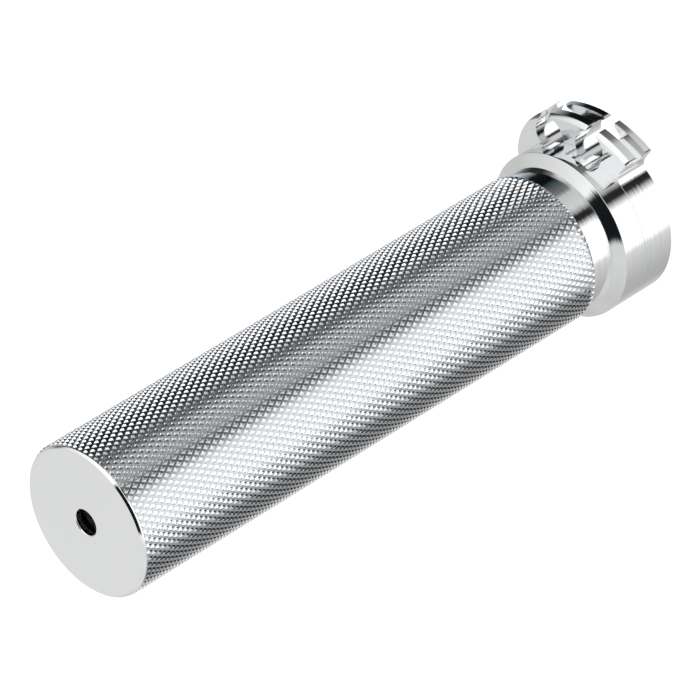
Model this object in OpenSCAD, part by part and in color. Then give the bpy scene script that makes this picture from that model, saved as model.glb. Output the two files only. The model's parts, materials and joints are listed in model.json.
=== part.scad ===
// Throttle grip for a motorcycle handlebar: a knurled aluminium sleeve with a flat end cap,
// a bevelled flange and a lobed drum for two cables. The grip turns on a thin acetal liner
// that stays on the handlebar.
// X runs along the handlebar, outwards. The origin is on the bar's axis, in the plane of the
// drum's rear face. +Z is up and +Y is forward. Angles are measured from +Z towards +Y.

/* [Overall] */
// Length from the drum's rear face to the end cap's face
total_len = 142.8; // [110:0.2:180]
// Outer diameter of the handlebar
bar_d = 25.4; // [20:0.1:32]

/* [Liner and bushes] */
// Radial gap between the handlebar and the liner
bar_gap = 0.05; // [0.02:0.01:0.1]
// Wall of the liner
liner_wall = 0.7; // [0.5:0.05:1]
// Radial running gap between the liner and the bushes
bush_gap = 0.05; // [0.02:0.01:0.1]
// Wall of the bushes
bush_wall = 0.8; // [0.5:0.05:1]
// Length of each bush
bush_len = 18; // [10:0.5:30]
// Thickness of the inner bush's flange and of the liner's flange
bush_flange_t = 0.8; // [0.5:0.1:1.2]
liner_flange_t = 1.0; // [0.6:0.1:1.5]
// Thickness of the thrust washers, and how far their rims stay inside what is around them
washer_t = 0.5; // [0.3:0.1:1]
washer_gap = 0.3; // [0.2:0.05:0.5]
// Thickness of the retaining ring, how deep it sits in the liner, and its opening
ring_t = 0.8; // [0.5:0.1:1.2]
ring_seat = 0.3; // [0.1:0.05:0.4]
ring_gap_w = 5; // [3:0.5:10]
// Axial play of the grip on the liner, at each end
end_play = 0.1; // [0.05:0.05:0.3]
// Free space between the liner's end and the end cap's spigot
liner_end_gap = 2.0; // [1:0.5:6]

/* [Sleeve] */
// Wall of the sleeve from its bore to the spigot that carries the flange and the drum
spigot_wall = 0.7; // [0.5:0.05:1.5]
// Step from the spigot up to the smooth neck
neck_step = 0.3; // [0.1:0.05:1]
// Step from the neck up to the crests of the knurl
knurl_step = 0.7; // [0.3:0.05:1.2]
// Length of the smooth neck between the flange and the knurl
neck_len = 5.1; // [2:0.1:12]

/* [Flange] */
// Wall of the flange and of the drum's hub around the sleeve's spigot
flange_wall = 2.95; // [2.45:0.05:3.6]
// Length of the flange's plain rim
flange_len = 5.6; // [4.6:0.1:10]
// Length of the bevel between the rim and the neck
bevel_len = 1.3; // [0.8:0.1:4]
// Width of the fine edge break where the flange meets the drum
seam_break = 0.12; // [0.05:0.01:0.3]

/* [Drum] */
// Width of the drum along the bar
drum_w = 7.6; // [6.3:0.1:12]
// Edge break on the lobes and on the hub's rear edge
lobe_break = 0.8; // [0.3:0.1:1.2]
hub_break = 0.3; // [0.1:0.05:0.5]
// Width of the front ridge and of the cable groove behind it
front_ridge_w = 2.6; // [1.5:0.1:4]
groove_w = 2.75; // [2:0.05:3.4]
// Depth of the cable groove
groove_depth = 2.5; // [1.5:0.1:3.5]
// Angle where the lobes end at the front of the grip
lobe_end = 31; // [26:1:40]
// Radius of the fillet at the foot of that end
foot_r = 2.2; // [1:0.1:3]
// Angle where the lobes start to taper at the back, the tail's radius and how far it leans in
tail_start = -31; // [-36:1:-31]
tail_r = 14.6; // [12:0.1:18]
tail_lean = 11.5; // [8:0.5:15]

/* [Cable pockets] */
// Diameter of the round pockets for the cable ends
pocket_d = 7.4; // [6:0.1:9]
// Metal between the pockets and the sleeve's spigot, and between the pockets and the lobes' rim
pocket_floor = 0.7; // [0.5:0.05:1.5]
pocket_roof = 0.65; // [0.5:0.05:1.5]
// How far the pockets run on into the flange
pocket_in_flange = 3.4; // [0.5:0.1:4]
// Width of the slots that open the pockets outwards
slot_w = 2.75; // [2:0.05:3.5]
// Angles of the two pockets
pocket_back_a = -26; // [-28:1:-20]
pocket_front_a = 6; // [2:1:9]

/* [Pins and screws] */
// Diameter and length of the drive pins between flange and drum
pin_d = 1.5; // [1:0.1:1.5]
pin_len = 6.5; // [4:0.5:8]
// Metal between the pins and the sleeve's spigot
pin_floor = 0.75; // [0.4:0.05:0.8]
// Angle of the first pin, the step to the next one, and how many there are
pin_start_a = 135; // [130:1:150]
pin_step_a = 60; // [40:1:60]
pin_count = 4; // [2:1:4]
// Diameter of the set screws, their socket across flats and its depth
screw_d = 3.0; // [2:0.5:4]
socket_af = 1.5; // [0.9:0.1:2]
socket_depth = 1.2; // [0.5:0.1:1.5]
// How far the set screws sit below the rim
screw_sink = 0.35; // [0.1:0.05:0.6]

/* [End cap] */
// Thickness of the cap's wall and of the rim that shows beyond the knurl
cap_wall = 1.9; // [1.5:0.1:4]
cap_rim_t = 0.8; // [0.6:0.1:1.4]
// Bevel on the cap's edge, and how far the cap's rim lies below the knurl's crests
cap_bevel = 0.45; // [0.2:0.05:0.6]
cap_rim_drop = 0.25; // [0.1:0.05:0.5]
// Diameter of the hole in the cap, and the fine edge break on it
cap_hole_d = 5.5; // [3:0.1:8]
hole_break = 0.15; // [0.05:0.05:0.3]
// Length and wall of the cap's spigot
cap_spigot_len = 6.0; // [4:0.5:10]
cap_spigot_wall = 2.4; // [2:0.1:4]
// Section diameter of the seal ring on the spigot
seal_d = 1.3; // [1:0.1:1.6]

/* [Hidden] */
$fn = 96;
// How far a cutter runs past the surface that it opens
cut = 0.5;
liner_bore_r = bar_d / 2 + bar_gap;
liner_r = liner_bore_r + liner_wall;
bush_bore_r = liner_r + bush_gap;
sleeve_bore_r = bush_bore_r + bush_wall;
spigot_r = sleeve_bore_r + spigot_wall;
neck_r = spigot_r + neck_step;
knurl_r = neck_r + knurl_step;
flange_r = spigot_r + flange_wall;
pocket_r = pocket_d / 2;
pocket_pitch_r = spigot_r + pocket_floor + pocket_r;
pin_pitch_r = spigot_r + pin_floor + pin_d / 2;
lobe_r = pocket_pitch_r + pocket_r + pocket_roof;
groove_r = lobe_r - groove_depth;
// Longer than any radius of the grip, for fans and cutters
far = 2 * lobe_r;
inner_washer_r = spigot_r - washer_gap;
outer_washer_r = sleeve_bore_r - washer_gap;
// Stations along the bar
flange_x = drum_w;
bevel_x = flange_x + flange_len;
neck_x = bevel_x + bevel_len;
knurl_x = neck_x + neck_len;
cap_x = total_len - cap_rim_t;
cap_cavity_x = total_len - cap_wall;
cap_spigot_x = cap_x - cap_spigot_len;
bush_flange_x = liner_flange_t + washer_t + end_play;
spigot_x = bush_flange_x + bush_flange_t;
liner_len = cap_spigot_x - liner_end_gap;
ring_x = liner_len - liner_end_gap - ring_t;
outer_washer_x = ring_x - washer_t;
outer_bush_x = outer_washer_x - end_play - bush_len;
groove_x = drum_w - front_ridge_w - groove_w;
seal_x = cap_spigot_x + cap_spigot_len / 2;
screw_x = flange_x + flange_len / 2 + (bevel_len - seam_break) / 2;
pin_x = flange_x - pin_len / 2;
// Angles of the lobes' foot fillet and of their tail, whose outline dies out inside the hub
foot_a = lobe_end + asin(foot_r / (flange_r + foot_r));
tail_a = tail_start - tail_lean;
tail_end_a = -110;
// Colours
aluminium_colour = [0.86, 0.87, 0.88];
drum_colour = [0.80, 0.81, 0.83];
acetal_colour = [0.93, 0.93, 0.90];
bronze_colour = [0.72, 0.52, 0.28];
steel_colour = [0.55, 0.56, 0.58];
rubber_colour = [0.08, 0.08, 0.08];
// Patterns
pocket_angles = [pocket_back_a, pocket_front_a];
pin_angles = [for (i = [0:pin_count - 1]) pin_start_a + i * pin_step_a];
screw_angles = [for (i = [0:2]) pin_start_a + (i + 0.5) * pin_step_a];

// A point in the plane across the bar, at a distance and an angle from +Z towards +Y
function across(r, a) = [r * sin(a), r * cos(a)];

// A body turned about the bar's axis from an outline of [radius, x] points
module turned() rotate([0, 90, 0]) rotate_extrude() children();

// A plain ring about the bar's axis
module ring(r_in, r_out, x, len) turned() translate([r_in, x]) square([r_out - r_in, len]);

// An outline across the bar, in (Y, Z), extruded along it
module along(x, len) translate([x, 0, 0]) rotate([90, 0, 90]) linear_extrude(len) children();

// A fan from the bar's axis between two angles
module fan(from_a, to_a) {
    steps = ceil((to_a - from_a) / 40);
    rim = [for (i = [0:steps]) across(far, from_a + (to_a - from_a) * i / steps)];
    polygon(concat([[0, 0]], rim));
}

// A round rod along the bar at a distance and an angle
module rod(r, pitch_r, a, x, len) along(x, len) translate(across(pitch_r, a)) circle(r = r);

// A radial rod across the bar from one distance to another
module spoke(r, a, x, from_r, to_r) {
    translate([x, 0, 0]) rotate([-a, 0, 0]) translate([0, 0, from_r])
        cylinder(r = r, h = to_r - from_r);
}

// Acetal liner: the tube that stays on the handlebar, with its flange at the inner end
module bar_liner() color(acetal_colour) {
    difference() {
        turned() polygon([
            [liner_bore_r, 0], [inner_washer_r, 0], [inner_washer_r, liner_flange_t],
            [liner_r, liner_flange_t], [liner_r, liner_len], [liner_bore_r, liner_len]]);
        ring(liner_r - ring_seat, liner_r + cut, ring_x, ring_t);
    }
}

// Thrust washer between the liner's flange and the inner bush
module inner_thrust_washer() color(steel_colour)
    ring(bush_bore_r, inner_washer_r, liner_flange_t, washer_t);

// Thrust washer between the outer bush and the retaining ring
module outer_thrust_washer() color(steel_colour)
    ring(bush_bore_r, outer_washer_r, outer_washer_x, washer_t);

// Open ring that snaps into the liner's groove and keeps the grip on the liner
module liner_retaining_ring() color(steel_colour) {
    difference() {
        ring(liner_r - ring_seat, outer_washer_r, ring_x, ring_t);
        translate([ring_x - cut, -ring_gap_w / 2, -far])
            cube([ring_t + 2 * cut, ring_gap_w, far]);
    }
}

// Sleeve: spigot for flange and drum, smooth neck, and the knurled length at crest diameter
module grip_sleeve() color(aluminium_colour)
    turned() polygon([
        [sleeve_bore_r, spigot_x], [spigot_r, spigot_x], [spigot_r, neck_x], [neck_r, neck_x],
        [neck_r, knurl_x], [knurl_r, knurl_x + knurl_step], [knurl_r, cap_x],
        [sleeve_bore_r, cap_x]]);

// Bronze bush with a flange that rests on the end of the sleeve's spigot
module inner_bush() color(bronze_colour)
    turned() polygon([
        [bush_bore_r, bush_flange_x], [spigot_r, bush_flange_x], [spigot_r, spigot_x],
        [sleeve_bore_r, spigot_x], [sleeve_bore_r, spigot_x + bush_len],
        [bush_bore_r, spigot_x + bush_len]]);

// Plain bronze bush near the outer end
module outer_bush() color(bronze_colour)
    ring(bush_bore_r, sleeve_bore_r, outer_bush_x, bush_len);

// Flange: a bevelled ring on the spigot, with the front ends of the cable pockets
module flange_collar() color(aluminium_colour) {
    difference() {
        turned() polygon([
            [spigot_r, flange_x], [flange_r - seam_break, flange_x],
            [flange_r, flange_x + seam_break], [flange_r, bevel_x], [neck_r, neck_x],
            [spigot_r, neck_x]]);
        for (a = pocket_angles)
            rod(pocket_r, pocket_pitch_r, a, flange_x - cut, pocket_in_flange + cut);
        for (a = pin_angles) rod(pin_d / 2, pin_pitch_r, a, flange_x - cut, pin_len / 2 + cut);
        for (a = screw_angles) spoke(screw_d / 2, a, screw_x, spigot_r - cut, flange_r + cut);
    }
}

// Outline of the lobes across the bar: the raised fan, its tapering tail and the end fillet
module lobe_outline() {
    fan(tail_start, lobe_end);
    intersection() {
        fan(tail_end_a, tail_start);
        translate(across(lobe_r, tail_start) - across(tail_r, tail_a)) circle(r = tail_r);
    }
    difference() {
        intersection() {
            fan(lobe_end, foot_a);
            circle(r = (flange_r + foot_r) * cos(foot_a - lobe_end));
        }
        translate(across(flange_r + foot_r, foot_a)) circle(r = foot_r);
    }
}

// The lobes as a turned ring with two ridges and the cable groove, cut to their outline
module lobes() {
    intersection() {
        turned() polygon([
            [spigot_r, 0], [lobe_r - lobe_break, 0], [lobe_r, lobe_break], [lobe_r, groove_x],
            [groove_r, groove_x], [groove_r, groove_x + groove_w],
            [lobe_r, groove_x + groove_w], [lobe_r, drum_w - lobe_break],
            [lobe_r - lobe_break, drum_w], [spigot_r, drum_w]]);
        along(-cut, drum_w + 2 * cut) lobe_outline();
    }
}

// Drum: hub and lobes, with two keyhole pockets for the cable ends
module throttle_drum() color(drum_colour) {
    difference() {
        union() {
            turned() polygon([
                [spigot_r, 0], [flange_r - hub_break, 0], [flange_r, hub_break],
                [flange_r, drum_w - seam_break], [flange_r - seam_break, drum_w],
                [spigot_r, drum_w]]);
            lobes();
        }
        for (a = pocket_angles) {
            rod(pocket_r, pocket_pitch_r, a, -cut, drum_w + 2 * cut);
            along(-cut, drum_w + 2 * cut) rotate(-a)
                translate([-slot_w / 2, pocket_pitch_r]) square([slot_w, far]);
        }
        for (a = pin_angles) rod(pin_d / 2, pin_pitch_r, a, pin_x, pin_len);
    }
}

// Drive pins that carry the torque from the drum to the flange
module drive_pins() color(steel_colour)
    for (a = pin_angles) rod(pin_d / 2, pin_pitch_r, a, pin_x, pin_len);

// Set screws that lock the flange to the sleeve's spigot
module collar_set_screws() color(steel_colour) {
    for (a = screw_angles) {
        difference() {
            spoke(screw_d / 2, a, screw_x, spigot_r, flange_r - screw_sink);
            translate([screw_x, 0, 0]) rotate([-a, 0, 0])
                translate([0, 0, flange_r - screw_sink - socket_depth])
                cylinder(r = socket_af / sqrt(3), h = socket_depth + cut, $fn = 6);
        }
    }
}

// End cap: flat face with a central hole, bevelled rim, and a spigot in the sleeve's bore
module end_cap() color(aluminium_colour) {
    hole_r = cap_hole_d / 2;
    rim_r = knurl_r - cap_rim_drop;
    difference() {
        turned() polygon([
            [hole_r, cap_cavity_x], [hole_r, total_len - hole_break],
            [hole_r + hole_break, total_len], [rim_r - cap_bevel, total_len],
            [rim_r, total_len - cap_bevel], [rim_r, cap_x], [sleeve_bore_r, cap_x],
            [sleeve_bore_r, cap_spigot_x], [sleeve_bore_r - cap_spigot_wall, cap_spigot_x],
            [sleeve_bore_r - cap_spigot_wall, cap_cavity_x]]);
        ring(sleeve_bore_r - seal_d, sleeve_bore_r + cut, seal_x - seal_d / 2, seal_d);
    }
}

// Rubber seal ring in the cap's groove
module end_cap_seal() color(rubber_colour)
    turned() translate([sleeve_bore_r - seal_d / 2, seal_x]) circle(d = seal_d, $fn = 32);

bar_liner();
inner_thrust_washer();
outer_thrust_washer();
liner_retaining_ring();
grip_sleeve();
inner_bush();
outer_bush();
flange_collar();
throttle_drum();
drive_pins();
collar_set_screws();
end_cap();
end_cap_seal();
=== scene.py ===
"""Looks of a knurled aluminium throttle grip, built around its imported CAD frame.

Metres, in the CAD frame: X runs along the handlebar, outwards; +Z is up, +Y is forward.
Angles about the bar are measured from +Z towards +Y.
"""
import json
import math

import bmesh
import bpy
from mathutils import Matrix, Vector


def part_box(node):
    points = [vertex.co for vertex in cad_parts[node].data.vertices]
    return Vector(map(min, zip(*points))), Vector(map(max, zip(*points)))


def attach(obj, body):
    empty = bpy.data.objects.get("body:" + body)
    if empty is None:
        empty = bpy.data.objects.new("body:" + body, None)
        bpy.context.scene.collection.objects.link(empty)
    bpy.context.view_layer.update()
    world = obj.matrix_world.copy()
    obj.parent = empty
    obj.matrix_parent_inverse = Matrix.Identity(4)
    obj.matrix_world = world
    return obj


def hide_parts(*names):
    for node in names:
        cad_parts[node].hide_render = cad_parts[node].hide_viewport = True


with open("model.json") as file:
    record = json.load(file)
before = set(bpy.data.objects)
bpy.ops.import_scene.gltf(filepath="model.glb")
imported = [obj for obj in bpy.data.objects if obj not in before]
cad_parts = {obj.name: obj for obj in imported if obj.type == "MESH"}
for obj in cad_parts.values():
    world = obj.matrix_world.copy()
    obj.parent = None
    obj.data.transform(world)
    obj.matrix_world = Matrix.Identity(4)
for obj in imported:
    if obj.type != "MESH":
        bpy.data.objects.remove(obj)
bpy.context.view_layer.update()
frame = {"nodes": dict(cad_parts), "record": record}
scene = bpy.context.scene
MM = 0.001

# ---------------------------------------------------------------- sizes, from the frame
sleeve_low, sleeve_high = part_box("grip_sleeve")
KNURL_R = sleeve_high.z
CAP_X = sleeve_high.x
SPIGOT_X = sleeve_low.x
BORE_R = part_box("outer_bush")[1].z
SPIGOT_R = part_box("inner_bush")[1].z
NECK_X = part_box("flange_collar")[1].x
NECK_STEP, NECK_LEN = 0.3 * MM, 5.1 * MM
NECK_R = SPIGOT_R + NECK_STEP
KNURL_X = NECK_X + NECK_LEN

# Flange and drum
FLANGE_R = -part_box("throttle_drum")[0].z
LOBE_R = 23.75 * MM
DRUM_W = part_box("throttle_drum")[1].x
BEVEL_W = 1.3 * MM
BEVEL_X = NECK_X - BEVEL_W
LOBE_END, LOBE_START = math.radians(31), math.radians(-31)
FOOT_R = 2.2 * MM
TAIL_R, TAIL_LEAN, TAIL_SWEEP = 14.6 * MM, math.radians(11.5), math.radians(48)
LOBE_BREAK = 0.8 * MM
LOBE_ROOT_R, LOBE_ROOT_START = 16 * MM, math.radians(-75)     # inside the hub, out of sight
GROOVE_X, GROOVE_W, GROOVE_R = 2.25 * MM, 2.75 * MM, 21.25 * MM
POCKET_R, POCKET_PITCH = 3.7 * MM, 19.4 * MM
POCKET_END = DRUM_W + 3.4 * MM   # the pockets run on into the flange
POCKET_ANGLES = (math.radians(-26), math.radians(6))
SLOT_W = 2.75 * MM
PIN_R, PIN_PITCH, PIN_LEN = 0.75 * MM, 16.5 * MM, 6.5 * MM
PIN_ANGLES = [math.radians(135 + 60 * n) for n in range(4)]
SCREW_R = 1.5 * MM
SCREW_X = sum(c.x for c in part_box("collar_set_screws")) / 2
SCREW_ANGLES = [math.radians(165 + 60 * n) for n in range(3)]
CUT_PAST = 1 * MM                # how far a cutter stands out of what it cuts
FAR = 30                         # in millimetres, well outside the lobes

# End cap
CAP_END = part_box("end_cap")[1].x
CAP_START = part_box("end_cap")[0].x
CAP_RIM_R = KNURL_R - 0.25 * MM  # a little inside the knurl's crests
CAP_BEVEL = 0.45 * MM
CAP_WALL = 1.9 * MM
CAP_HOLE_R = 2.75 * MM
HOLE_BREAK = 0.15 * MM
CAP_SPIGOT_WALL = 2.4 * MM
SEAL_D = 1.3 * MM

# Knurl: two families of grooves that cross, each with the same number of starts
KNURL_STARTS = 69
KNURL_LEAD = 0.424 / MM          # grooves of one family per metre along the bar
KNURL_DEPTH = 0.30 * MM
GROOVE_SHARE = 0.12              # half the flat floor of a groove, as a share of the pitch
CREST_SHARE = 0.36               # where a diamond's flank ends and its flat crest starts


# ---------------------------------------------------------------- camera
AZIMUTH, ELEVATION = math.radians(134.53), math.radians(36.53)
LOOKS_AT = Vector((0.0713, -0.0014, 0.0015))
DISTANCE = 1.098
LENS_MM, SENSOR_MM = 292.4, 36


def make_camera():
    """The photograph's view: a long lens that looks at the cap from the front and above."""
    back = Vector((math.sin(AZIMUTH) * math.cos(ELEVATION),
                   -math.cos(AZIMUTH) * math.cos(ELEVATION), math.sin(ELEVATION)))
    data = bpy.data.cameras.new("camera")
    data.lens = LENS_MM
    data.sensor_width = SENSOR_MM
    data.clip_start, data.clip_end = 0.05, 50
    camera = bpy.data.objects.new("camera", data)
    camera.location = LOOKS_AT + back * DISTANCE
    camera.rotation_mode = "QUATERNION"
    camera.rotation_quaternion = (-back).to_track_quat("-Z", "Y")
    scene.collection.objects.link(camera)
    scene.camera = camera


# ---------------------------------------------------------------- node helpers
class Tree:
    """A node tree that is built with short calls."""

    def __init__(self, owner):
        owner.use_nodes = True
        self.nodes = owner.node_tree.nodes
        self.links = owner.node_tree.links
        self.nodes.clear()

    def add(self, kind, **settings):
        node = self.nodes.new(kind)
        for key, value in settings.items():
            setattr(node, key, value)
        return node

    def put(self, value, socket):
        """Links a socket, or sets a plain value."""
        if isinstance(value, bpy.types.NodeSocket):
            self.links.new(value, socket)
        else:
            socket.default_value = value

    def math(self, operation, a, b=0.0, c=0.0):
        node = self.add("ShaderNodeMath", operation=operation)
        for value, socket in zip((a, b, c), node.inputs):
            self.put(value, socket)
        return node.outputs[0]

    def ramp(self, factor, stops):
        """A colour ramp; stops are (place, grey or colour)."""
        node = self.add("ShaderNodeValToRGB")
        elements = node.color_ramp.elements
        while len(elements) < len(stops):
            elements.new(1.0)
        for element, (place, colour) in zip(elements, stops):
            element.position = place
            rgb = (colour,) * 3 if isinstance(colour, (int, float)) else colour
            element.color = (*rgb, 1)
        self.put(factor, node.inputs[0])
        return node.outputs[0]

    def scaled(self, value, low, high, to_low, to_high, smooth=False):
        """A value moved from one range to another, and held at its ends."""
        node = self.add("ShaderNodeMapRange")
        if smooth:
            node.interpolation_type = "SMOOTHSTEP"
        for number, socket in zip((value, low, high, to_low, to_high), node.inputs):
            self.put(number, socket)
        return node.outputs[0]

    def mix(self, factor, a, b):
        node = self.add("ShaderNodeMix", data_type="RGBA")
        self.put(factor, node.inputs[0])
        self.put(a, node.inputs[6])
        self.put(b, node.inputs[7])
        return node.outputs[2]

    def noise(self, vector, scale, detail=2.0, roughness=0.5, output=0):
        """Noise: output 0 is one value, and "Color" three that don't depend on each other."""
        node = self.add("ShaderNodeTexNoise")
        self.put(vector, node.inputs["Vector"])
        node.inputs["Scale"].default_value = scale
        node.inputs["Detail"].default_value = detail
        node.inputs["Roughness"].default_value = roughness
        return node.outputs[output]

    def vector(self, x, y, z):
        node = self.add("ShaderNodeCombineXYZ")
        for value, socket in zip((x, y, z), node.inputs):
            self.put(value, socket)
        return node.outputs[0]

    def split(self, vector):
        node = self.add("ShaderNodeSeparateXYZ")
        self.put(vector, node.inputs[0])
        return node.outputs

    def vector_math(self, operation, a, b=None, scale=None):
        node = self.add("ShaderNodeVectorMath", operation=operation)
        self.put(a, node.inputs[0])
        if b is not None:
            self.put(b, node.inputs[1])
        if scale is not None:
            self.put(scale, node.inputs["Scale"])
        return node.outputs[0]

    def point(self):
        return self.add("ShaderNodeTexCoord").outputs["Object"]

    def place(self):
        """The point on the object, its X, Y and Z, and its distance from the bar's axis."""
        point = self.point()
        x, y, z = self.split(point)
        radius = self.math("SQRT", self.math("ADD", self.math("MULTIPLY", y, y),
                                             self.math("MULTIPLY", z, z)))
        return point, x, y, z, radius

    def bump(self, height, distance):
        """A fine relief, at half strength."""
        node = self.add("ShaderNodeBump")
        node.inputs["Strength"].default_value = 0.5
        node.inputs["Distance"].default_value = distance
        self.put(height, node.inputs["Height"])
        return node.outputs[0]

    def brushed(self, stretched, amount, opened=0.0):
        """A normal that leans a little, the same way all along each brush mark.

        Opened leans it further away from the bar's axis, as a slightly crowned face has it.
        """
        marks = self.noise(stretched, 1.0, output="Color")
        lean = self.vector_math("SUBTRACT", marks, (0.5, 0.5, 0.5))
        lean = self.vector_math("SCALE", lean, scale=amount)
        normal = self.add("ShaderNodeNewGeometry").outputs["Normal"]
        if opened:
            _, _, y, z, radius = self.place()
            away = self.vector(0, self.math("DIVIDE", y, radius), self.math("DIVIDE", z, radius))
            normal = self.vector_math("ADD", normal, self.vector_math("SCALE", away, scale=opened))
        return self.vector_math("NORMALIZE", self.vector_math("ADD", lean, normal))

    def surface(self, colour, roughness, normal=None, **constants):
        """The shader and the output; constants are set on the shader's own sockets."""
        shader = self.add("ShaderNodeBsdfPrincipled")
        self.put(colour, shader.inputs["Base Color"])
        self.put(roughness, shader.inputs["Roughness"])
        for name, value in constants.items():
            shader.inputs[name.replace("_", " ")].default_value = value
        if normal is not None:
            self.put(normal, shader.inputs["Normal"])
        out = self.add("ShaderNodeOutputMaterial")
        self.links.new(shader.outputs[0], out.inputs[0])


# ---------------------------------------------------------------- studio
# The tent's walls: how bright they are by their angle about the bar, in degrees. The inner wall
# lies towards the drum, the middle one abreast of the grip and the outer one beyond the cap.
INNER_WALL = (
    (-180, 0.32), (-150, 0.46), (-101, 0.46), (-90, (0.32, 0.36, 0.41)),
    (-78, (0.14, 0.18, 0.21)), (-68, 0.006), (-42, 0.003), (-36, (0.02, 0.035, 0.04)),
    (-12, 0.14), (-5, 0.42), (18, 0.50), (26, 0.30), (31, 0.012), (40, 0.015), (47, 0.50),
    (54, 1.0), (103, 1.0), (113, 0.54), (125, 0.46), (155, 0.35), (180, 0.32))
MIDDLE_WALL = (
    (-180, 0.50), (-160, 0.42), (-130, 0.48), (-98, 0.42), (-84, 0.10), (-74, 0.02),
    (-55, 0.02), (-42, 0.15), (-30, 0.70), (0, 1.0), (42, 1.0), (52, 0.50), (61, 0.05),
    (74, 0.05), (88, 0.12), (98, 0.26), (112, 0.55), (150, 0.60), (180, 0.50))
OUTER_WALL = (
    (-180, 0.44), (-140, 0.52), (-105, 0.42), (-72, 0.56), (-45, 0.68), (-20, 0.78),
    (60, 0.85), (100, 0.70), (124, 0.50), (150, 0.52), (180, 0.44))
FLAG_BLACK = (0.008, 0.010, 0.012, 1)
CAP_FLAG_BLACK = (0.006, 0.007, 0.008, 1)
CAP_FLAG_TURN = math.radians(43.4)
BACKDROP = (0.66, 0.66, 0.66, 1)
BRIGHTNESS = 1.5


def walls(tree, place, stops):
    """One of the tent's walls; place is 0 at -180 degrees about the bar and 1 at 180."""
    return tree.ramp(place, [((angle + 180) / 360, shade) for angle, shade in stops])


def make_world():
    """A light tent around the bar: bright walls with a few dark flags between them."""
    world = bpy.data.worlds.new("studio")
    scene.world = world
    tree = Tree(world)
    direction = tree.add("ShaderNodeTexCoord").outputs["Generated"]
    x, y, z = tree.split(direction)
    place = tree.scaled(tree.math("ARCTAN2", y, z), -math.pi, math.pi, 0, 1)
    inner, middle, outer = (walls(tree, place, w) for w in (INNER_WALL, MIDDLE_WALL, OUTER_WALL))
    tent = tree.mix(tree.scaled(x, -0.36, -0.16, 0, 1, smooth=True), inner, middle)
    tent = tree.mix(tree.scaled(x, 0.24, 0.44, 0, 1, smooth=True), tent, outer)
    # The flag behind the drum
    far_end = tree.scaled(x, -0.90, -0.80, 1, 0, smooth=True)
    tent = tree.mix(far_end, tent, FLAG_BLACK)
    # The flag beyond the cap: across runs from above-behind to below-ahead, along towards ahead
    cosine, sine = math.cos(CAP_FLAG_TURN), math.sin(CAP_FLAG_TURN)
    across = tree.math("ADD", tree.math("MULTIPLY", y, cosine), tree.math("MULTIPLY", z, -sine))
    along = tree.math("ADD", tree.math("MULTIPLY", y, sine), tree.math("MULTIPLY", z, cosine))
    leaning = tree.math("MULTIPLY_ADD", along, 0.20, across)
    low_edge = tree.scaled(leaning, -0.24, -0.12, 0, 1, smooth=True)
    reach = tree.math("SUBTRACT", across, tree.math("MULTIPLY", along, 0.75))
    high_edge = tree.scaled(reach, 0.30, 0.42, 1, 0, smooth=True)
    near_pole = tree.scaled(x, 0.60, 0.68, 0, 1, smooth=True)
    flag = tree.math("MULTIPLY", tree.math("MULTIPLY", low_edge, high_edge), near_pole)
    studio = tree.mix(flag, tent, CAP_FLAG_BLACK)
    # Seen directly, the tent is a plain pale wall
    seen = tree.add("ShaderNodeLightPath").outputs["Is Camera Ray"]
    light = tree.add("ShaderNodeBackground")
    tree.put(tree.mix(seen, studio, BACKDROP), light.inputs[0])
    light.inputs[1].default_value = BRIGHTNESS
    out = tree.add("ShaderNodeOutputWorld")
    tree.links.new(light.outputs[0], out.inputs[0])


def make_floor():
    """A plain pale floor, below the grip, which is held as on its handlebar."""
    half_width, drop = 4, 0.16
    bm = bmesh.new()
    bmesh.ops.create_grid(bm, x_segments=1, y_segments=1, size=half_width)
    mesh = bpy.data.meshes.new("floor")
    bm.to_mesh(mesh)
    bm.free()
    floor = bpy.data.objects.new("floor", mesh)
    floor.location.z = -drop
    floor.visible_glossy = False
    scene.collection.objects.link(floor)
    material = bpy.data.materials.new("floor_paper")
    tree = Tree(material)
    fibre = tree.noise(tree.point(), 900, detail=3)
    shade = tree.ramp(fibre, [(0.3, 0.86), (0.7, 0.90)])
    tree.surface(shade, 0.9, Emission_Color=(1, 1, 1, 1), Emission_Strength=0.45)
    mesh.materials.append(material)


# ---------------------------------------------------------------- materials
def new_material(name):
    material = bpy.data.materials.new(name)
    return material, Tree(material)


def knurled_metal():
    """Bright aluminium with a fine grain, darker in the knurl's grooves by painted shade, and
    rougher there and on its crests.
    """
    material, tree = new_material("knurled_metal")
    point, _, _, _, radius = tree.place()
    height = tree.scaled(radius, KNURL_R - KNURL_DEPTH, KNURL_R, 0, 1)
    fine = tree.noise(point, 9000, detail=2)
    patches = tree.noise(point, 260, detail=2)
    # Fine grain plus painted shade: the colour darkens from the crests down to the grooves' floors
    grain_and_groove_shade = tree.math("MULTIPLY_ADD", tree.math("SUBTRACT", fine, 0.5), 0.35, height)
    colour = tree.ramp(grain_and_groove_shade, [(0.0, (0.50, 0.52, 0.54)), (0.25, (0.80, 0.81, 0.83)),
                              (0.5, (0.95, 0.955, 0.96)), (1.0, (0.97, 0.97, 0.975))])
    dulled = tree.ramp(height, [(0.03, 0.20), (0.12, 0.05), (0.92, 0.05), (0.99, 0.24)])
    rough = tree.math("ADD", dulled, tree.math("MULTIPLY", patches, 0.03))
    tree.surface(colour, rough, tree.bump(fine, 0.003 * MM), Metallic=1.0)
    return material


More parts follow.
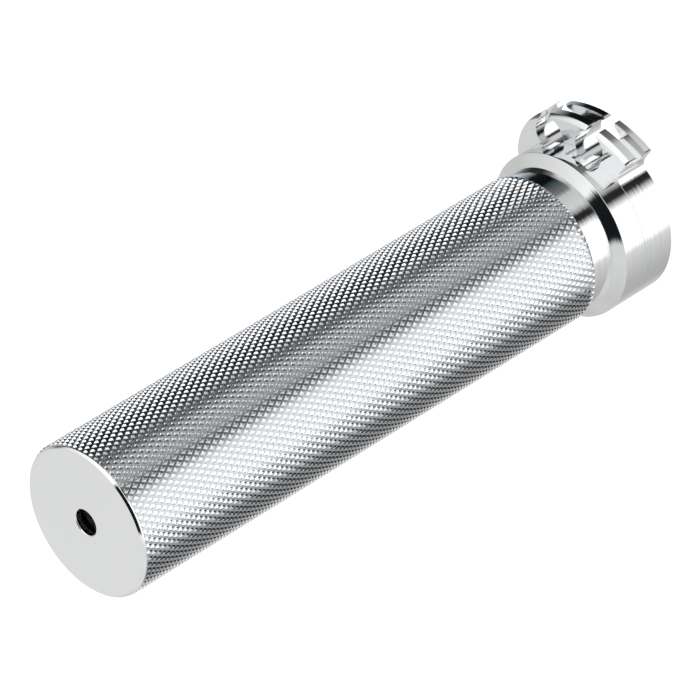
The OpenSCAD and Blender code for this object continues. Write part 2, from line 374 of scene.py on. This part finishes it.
def turned_metal(name, colour, rough_low, rough_high, lean, opened=0.0, shade_painted_below=None):
    """Aluminium with fine turning marks that run round the bar's axis.

    Below the place along the bar that the last argument gives, the colour is painted near black:
    painted shade for the hollow inside, where little light reaches.
    """
    across_marks, round_bar = 7000, 90       # noise cells per metre
    material, tree = new_material(name)
    point, x, y, z, radius = tree.place()
    step = tree.math("MULTIPLY", tree.math("ADD", x, radius), across_marks)
    stretched = tree.vector(step, tree.math("MULTIPLY", y, round_bar),
                            tree.math("MULTIPLY", z, round_bar))
    marks = tree.noise(stretched, 1.0, detail=3, roughness=0.6)
    haze = tree.noise(point, 300, detail=2)
    darker = tuple((1 - lean) * c for c in colour)
    tint = tree.ramp(marks, [(0.25, darker), (0.6, colour)])
    # Painted shade: deep in the hollow the colour fades to near black, where light hardly reaches
    if shade_painted_below is not None:
        hollow_shade = tree.scaled(x, shade_painted_below - 0.3 * MM, shade_painted_below, 1, 0)
        tint = tree.mix(hollow_shade, tint, (0.05, 0.05, 0.055, 1))
    rough = tree.math("ADD", tree.scaled(marks, 0.2, 0.8, rough_low, rough_high),
                      tree.math("MULTIPLY", haze, 0.03))
    tree.surface(tint, rough, tree.brushed(stretched, lean, opened), Metallic=1.0)
    return material


def plain_metal(name, colour, rough, grain):
    """Bushes, washers, pins and screws: metal with a fine ground grain."""
    material, tree = new_material(name)
    scratch = tree.noise(tree.point(), grain, detail=4, roughness=0.65)
    tint = tree.ramp(scratch, [(0.3, tuple(0.8 * c for c in colour)), (0.65, colour)])
    level = tree.scaled(scratch, 0.3, 0.7, rough - 0.08, rough + 0.10)
    tree.surface(tint, level, tree.bump(scratch, 0.01 * MM), Metallic=1.0)
    return material


def moulded(name, colour, rough, grain, depth):
    """Acetal and rubber: a fine moulded skin."""
    material, tree = new_material(name)
    skin = tree.noise(tree.point(), grain, detail=3)
    tint = tree.ramp(skin, [(0.3, tuple(0.9 * c for c in colour)), (0.7, colour)])
    level = tree.scaled(skin, 0.3, 0.7, rough - 0.05, rough + 0.08)
    tree.surface(tint, level, tree.bump(skin, depth))
    return material


# ---------------------------------------------------------------- shapes
def ring_point(x, radius, angle):
    return Vector((x, radius * math.sin(angle), radius * math.cos(angle)))


def add_knurl(bm, first_x, last_x):
    """Adds the knurl as a lattice of small flat-topped diamonds with grooves between them.

    A cell (s, k) is a diamond: s counts along the bar and k round it, and every other row is
    shifted by half a cell. Lattice places a and b count the grooves of the two families.
    """
    rows = range(int(2 * KNURL_LEAD * first_x) - 3, int(2 * KNURL_LEAD * last_x) + 3)
    corners = ((0, 0), (1, 0), (1, 1), (0, 1))

    def radius_at(x, drop):
        """Below the crests by drop, but the knurl rises from the neck at 45 degrees."""
        run_out = NECK_R + max(0.0, x - KNURL_X)
        return min(KNURL_R - drop, run_out)

    # A cell's eight points: four corners of its crest, then the same corners at the groove's floor
    cells = {}
    for s in rows:
        for k in range(KNURL_STARTS):
            d = 2 * k + s % 2
            i, j = (s + d) / 2, (s - d) / 2
            made = []
            for share, drop in ((CREST_SHARE, 0.0), (GROOVE_SHARE, KNURL_DEPTH)):
                for u, v in corners:
                    a = i + share + u * (1 - 2 * share)
                    b = j + share + v * (1 - 2 * share)
                    x = (a + b) / (2 * KNURL_LEAD)
                    angle = math.pi * (a - b) / KNURL_STARTS
                    made.append(bm.verts.new(ring_point(x, radius_at(x, drop), angle)))
            cells[s, k] = made
    for (s, k), here in cells.items():
        crest, foot = here[:4], here[4:]
        bm.faces.new(crest)
        for n in range(4):
            m = (n + 1) % 4
            bm.faces.new((foot[n], foot[m], crest[m], crest[n]))
        odd = s % 2
        ahead = cells.get((s + 1, (k + odd) % KNURL_STARTS))
        beside = cells.get((s + 1, (k + odd - 1) % KNURL_STARTS))
        beyond = cells.get((s + 2, k))
        if ahead:
            bm.faces.new((foot[2], foot[1], ahead[4], ahead[7]))
        if beside:
            bm.faces.new((foot[3], foot[2], beside[5], beside[4]))
        if ahead and beside and beyond:
            bm.faces.new((foot[2], ahead[7], beyond[4], beside[5]))


def broken(profile, size, steps=3):
    """A closed outline of (x, radius) points with each corner cut back and rounded."""
    points = [Vector(p) for p in profile]
    made = []
    for n, corner in enumerate(points):
        before = (points[n - 1] - corner).normalized() * size
        after = (points[(n + 1) % len(points)] - corner).normalized() * size
        for step in range(steps + 1):
            t = step / steps
            made.append(corner + before * (1 - t) ** 2 + after * t ** 2)
    return made


def lathed(profile, segments=240):
    """A closed ring turned about the bar's axis from a closed outline."""
    bm = bmesh.new()
    rings = [[bm.verts.new(ring_point(x, r, 2 * math.pi * k / segments)) for x, r in profile]
             for k in range(segments)]
    for k, ring in enumerate(rings):
        beside = rings[(k + 1) % segments]
        for n in range(len(profile)):
            m = (n + 1) % len(profile)
            bm.faces.new((ring[n], ring[m], beside[m], beside[n]))
    bmesh.ops.recalc_face_normals(bm, faces=bm.faces[:])
    return bm


def prism(outline, low_x, high_x):
    """A closed solid from an outline of (Y, Z) points, along the bar."""
    bm = bmesh.new()
    ends = [[bm.verts.new((x, y, z)) for y, z in outline] for x in (low_x, high_x)]
    for end in ends:
        bm.faces.new(end)
    for n in range(len(outline)):
        m = (n + 1) % len(outline)
        bm.faces.new((ends[0][n], ends[0][m], ends[1][m], ends[1][n]))
    bmesh.ops.recalc_face_normals(bm, faces=bm.faces[:])
    return bm


def polar(radius, angle):
    return Vector((radius * math.sin(angle), radius * math.cos(angle)))


def disc(centre, radius, segments=72):
    return [centre + polar(radius, 2 * math.pi * n / segments) for n in range(segments)]


def arc(centre, radius, start, end, steps):
    return [centre + polar(radius, start + (end - start) * n / steps) for n in range(steps + 1)]


def combined(bm, others):
    """The mesh after boolean operations with other meshes, each given as (mesh, operation)."""
    base = finished("base", bm)
    helpers = []
    for other, operation in others:
        helper = finished("helper", other)
        helpers.append(helper)
        step = base.modifiers.new("step", "BOOLEAN")
        step.object = helper
        step.operation = operation
        step.solver = "EXACT"
    graph = bpy.context.evaluated_depsgraph_get()
    result = bmesh.new()
    result.from_mesh(base.evaluated_get(graph).to_mesh())
    for helper in [base, *helpers]:
        bpy.data.objects.remove(helper)
    return result


def filed(name, bm, width, least_angle=40, weld=2e-7, flat_angle=0.2):
    """A piece whose remaining sharp corners are really broken, as a bench does with a file.

    Points closer than weld are joined, and faces flatter than flat_angle made one.
    """
    bmesh.ops.remove_doubles(bm, verts=bm.verts, dist=weld)
    bmesh.ops.dissolve_limit(bm, angle_limit=math.radians(flat_angle), verts=bm.verts,
                             edges=bm.edges)
    corners = [e for e in bm.edges if e.calc_face_angle(0) > math.radians(least_angle)]
    bmesh.ops.bevel(bm, geom=corners, offset=width, segments=2, profile=0.5, affect="EDGES",
                    clamp_overlap=True)
    for face in bm.faces:
        face.smooth = True
    piece = finished(name, bm)
    weighted = piece.modifiers.new("weighted", "WEIGHTED_NORMAL")
    weighted.keep_sharp = True
    return piece


def pocket_cutters():
    return [prism(disc(polar(POCKET_PITCH, a), POCKET_R), -CUT_PAST, POCKET_END)
            for a in POCKET_ANGLES]


def pin_cutters():
    return [prism(disc(polar(PIN_PITCH, a), PIN_R, 24), DRUM_W - PIN_LEN / 2, DRUM_W + PIN_LEN / 2)
            for a in PIN_ANGLES]


def screw_cutter(angle):
    """A radial rod through the flange."""
    bm = bmesh.new()
    bmesh.ops.create_cone(bm, cap_ends=True, segments=32, radius1=SCREW_R, radius2=SCREW_R,
                          depth=6 * MM)
    turn = Matrix.Rotation(-angle, 4, "X")
    bm.transform(Matrix.Translation((SCREW_X, 0, 0)) @ turn @ Matrix.Translation((0, 0, FLANGE_R)))
    return bm


def slot_cutter(angle):
    """The slot that opens a pocket outwards."""
    side, out = polar(SLOT_W / 2, angle + math.pi / 2), polar(1, angle)
    near, far = out * POCKET_PITCH, out * FAR * MM
    corners = [near - side, far - side, far + side, near + side]
    return prism(corners, -CUT_PAST, DRUM_W + CUT_PAST)


def lobe_outline():
    """The lobes across the bar: a fan, a foot fillet at its front and a tail at its back."""
    foot_angle = LOBE_END + math.asin(FOOT_R / (FLANGE_R + FOOT_R))
    foot = polar(FLANGE_R + FOOT_R, foot_angle)
    tail_angle = LOBE_START - TAIL_LEAN
    tail = polar(LOBE_R, LOBE_START) - polar(TAIL_R, tail_angle)
    fan = arc(Vector((0, 0)), FAR * MM, LOBE_END, LOBE_START, 4)
    back = arc(tail, TAIL_R, tail_angle, tail_angle - TAIL_SWEEP, 24)
    floor = arc(Vector((0, 0)), LOBE_ROOT_R, LOBE_ROOT_START, foot_angle, 12)
    fillet = arc(foot, FOOT_R, foot_angle + math.pi, LOBE_END + 1.5 * math.pi, 10)
    return fan + back + floor + fillet


def make_drum():
    """Hub and lobes, with the cable groove, two keyhole pockets and the pins' holes."""
    fine = 0.06 * MM
    hub = lathed(broken([(0, SPIGOT_R), (0, FLANGE_R), (DRUM_W, FLANGE_R), (DRUM_W, SPIGOT_R)],
                        fine, 2))
    groove_end = GROOVE_X + GROOVE_W
    rim = [(0, LOBE_ROOT_R), (0, LOBE_R - LOBE_BREAK), (LOBE_BREAK, LOBE_R), (GROOVE_X, LOBE_R),
           (GROOVE_X, GROOVE_R), (groove_end, GROOVE_R), (groove_end, LOBE_R),
           (DRUM_W - LOBE_BREAK, LOBE_R), (DRUM_W, LOBE_R - LOBE_BREAK), (DRUM_W, LOBE_ROOT_R)]
    lobes = combined(lathed([Vector(p) for p in rim], 360),
                     [(prism(lobe_outline(), -CUT_PAST, DRUM_W + CUT_PAST), "INTERSECT")])
    cutters = pocket_cutters() + [slot_cutter(a) for a in POCKET_ANGLES] + pin_cutters()
    whole = combined(hub, [(lobes, "UNION")] + [(c, "DIFFERENCE") for c in cutters])
    return filed("cable_drum", whole, 0.09 * MM)


def make_flange():
    """The bevelled ring, with the ends of the cable pockets, pin holes and screw holes."""
    ring = lathed(broken([(DRUM_W, SPIGOT_R), (DRUM_W, FLANGE_R), (BEVEL_X, FLANGE_R),
                          (NECK_X, NECK_R), (NECK_X, SPIGOT_R)], 0.08 * MM))
    cutters = pocket_cutters() + pin_cutters() + [screw_cutter(a) for a in SCREW_ANGLES]
    return filed("flange", combined(ring, [(c, "DIFFERENCE") for c in cutters]), 0.07 * MM)


def make_cap():
    """The cap: a flat face with a bevelled edge, a hole, and a grooved spigot behind it."""
    cavity_x, spigot_in = CAP_END - CAP_WALL, BORE_R - CAP_SPIGOT_WALL
    seal_x, seal_floor = (CAP_START + CAP_X) / 2, BORE_R - SEAL_D
    outline = [(cavity_x, CAP_HOLE_R), (CAP_END - HOLE_BREAK, CAP_HOLE_R),
               (CAP_END, CAP_HOLE_R + HOLE_BREAK), (CAP_END, CAP_RIM_R - CAP_BEVEL),
               (CAP_END - CAP_BEVEL, CAP_RIM_R), (CAP_X, CAP_RIM_R), (CAP_X, BORE_R),
               (seal_x + SEAL_D / 2, BORE_R), (seal_x + SEAL_D / 2, seal_floor),
               (seal_x - SEAL_D / 2, seal_floor), (seal_x - SEAL_D / 2, BORE_R),
               (CAP_START, BORE_R), (CAP_START, spigot_in), (cavity_x, spigot_in)]
    return filed("cap", lathed(broken(outline, 0.06 * MM), 360), 0.03 * MM, 60)


def border(bm, x):
    """The open edges that lie in the plane across the bar at x."""
    return [e for e in bm.edges if e.is_boundary and all(abs(v.co.x - x) < 1e-7 for v in e.verts)]


def drawn_on(bm, edges, x, radius):
    """Draws an open ring of edges on to a new place along the bar and a new radius."""
    made = bmesh.ops.extrude_edge_only(bm, edges=edges)["geom"]
    for vert in (g for g in made if isinstance(g, bmesh.types.BMVert)):
        angle = math.atan2(vert.co.y, vert.co.z)
        vert.co = ring_point(x, radius, angle)
    return [g for g in made if isinstance(g, bmesh.types.BMEdge) and g.is_boundary]


def make_sleeve():
    """The sleeve in one closed mesh: knurl, smooth neck, spigot, bore and end face."""
    bm = bmesh.new()
    add_knurl(bm, KNURL_X, CAP_X)
    for x, side in ((KNURL_X, -1), (CAP_X, 1)):
        bmesh.ops.bisect_plane(bm, geom=bm.verts[:] + bm.edges[:] + bm.faces[:], dist=1e-7,
                               plane_co=(x, 0, 0), plane_no=(side, 0, 0), clear_outer=True)
    knurl_faces = set(bm.faces)
    inner = border(bm, KNURL_X)
    for vert in {v for e in inner for v in e.verts}:
        vert.co = ring_point(KNURL_X, NECK_R, math.atan2(vert.co.y, vert.co.z))
    edge_break = 0.1 * MM
    for x, radius in ((NECK_X, NECK_R), (NECK_X, SPIGOT_R), (SPIGOT_X, SPIGOT_R),
                      (SPIGOT_X, BORE_R + edge_break), (SPIGOT_X + edge_break, BORE_R),
                      (CAP_X, BORE_R)):
        inner = drawn_on(bm, inner, x, radius)
    bore_edges = set(inner)
    outer = [e for e in border(bm, CAP_X) if e not in bore_edges]
    bmesh.ops.bridge_loops(bm, edges=inner + outer)
    bmesh.ops.recalc_face_normals(bm, faces=bm.faces[:])
    for face in bm.faces:
        face.smooth = face not in knurl_faces
        face.material_index = 0 if face in knurl_faces else 1
    return finished("knurled_sleeve", bm)


def finished(name, bm):
    """A mesh object from a bmesh, with crisp edges kept sharp."""
    mesh = bpy.data.meshes.new(name)
    bm.to_mesh(mesh)
    bm.free()
    mesh.set_sharp_from_angle(angle=math.radians(35))
    piece = bpy.data.objects.new(name, mesh)
    scene.collection.objects.link(piece)
    return piece


def softened(name, node, width):
    """A copy of a CAD piece whose corners are broken."""
    bm = bmesh.new()
    bm.from_mesh(frame["nodes"][node].data)
    for face in bm.faces:
        face.material_index = 0
    return filed(name, bm, width, least_angle=28, weld=1e-6, flat_angle=0.5)


# ---------------------------------------------------------------- build
make_camera()
make_world()
make_floor()
scene.view_settings.view_transform = "Standard"

BODY_OF = {n: b for b, names in frame["record"]["behaviour"]["bodies"].items() for n in names}
bright = (0.84, 0.845, 0.85)
turned = turned_metal("turned_metal", bright, 0.03, 0.09, 0.09)
flange_metal = turned_metal("flange_metal", bright, 0.03, 0.07, 0.06, opened=0.07)
# The cap's metal behind its hole gets painted shade, near black
polished = turned_metal("polished_metal", (0.92, 0.925, 0.93), 0.04, 0.06, 0.003,
                        shade_painted_below=CAP_X - 0.4 * MM)
steel = plain_metal("ground_steel", (0.56, 0.57, 0.59), 0.30, 2500)
bronze = plain_metal("bored_bronze", (0.74, 0.53, 0.30), 0.32, 2000)
acetal = moulded("acetal", (0.86, 0.86, 0.82), 0.38, 3000, 0.01 * MM)
rubber = moulded("rubber", (0.03, 0.03, 0.032), 0.55, 4000, 0.01 * MM)

MADE = (
    (make_drum(), "throttle_drum", turned, "turned_aluminium"),
    (make_flange(), "flange_collar", flange_metal, "turned_aluminium"),
    (make_cap(), "end_cap", polished, "polished_aluminium"),
    (make_sleeve(), "grip_sleeve", knurled_metal(), "knurled_aluminium"),
    (softened("set_screws", "collar_set_screws", 0.08 * MM), "collar_set_screws", steel, "steel"),
    (softened("liner", "bar_liner", 0.10 * MM), "bar_liner", acetal, "acetal"),
    (softened("inner_washer", "inner_thrust_washer", 0.05 * MM), "inner_thrust_washer", steel,
     "steel"),
    (softened("flanged_bush", "inner_bush", 0.08 * MM), "inner_bush", bronze, "bronze"),
)
for piece, node, material, slot in MADE:
    piece.data.materials.append(material)
    if node == "grip_sleeve":
        piece.data.materials.append(turned)
    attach(piece, BODY_OF[node])
    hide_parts(node)

for node, material in (("outer_thrust_washer", steel), ("liner_retaining_ring", steel),
                       ("outer_bush", bronze), ("drive_pins", steel), ("end_cap_seal", rubber)):
    for slot in frame["nodes"][node].material_slots:
        slot.material = material
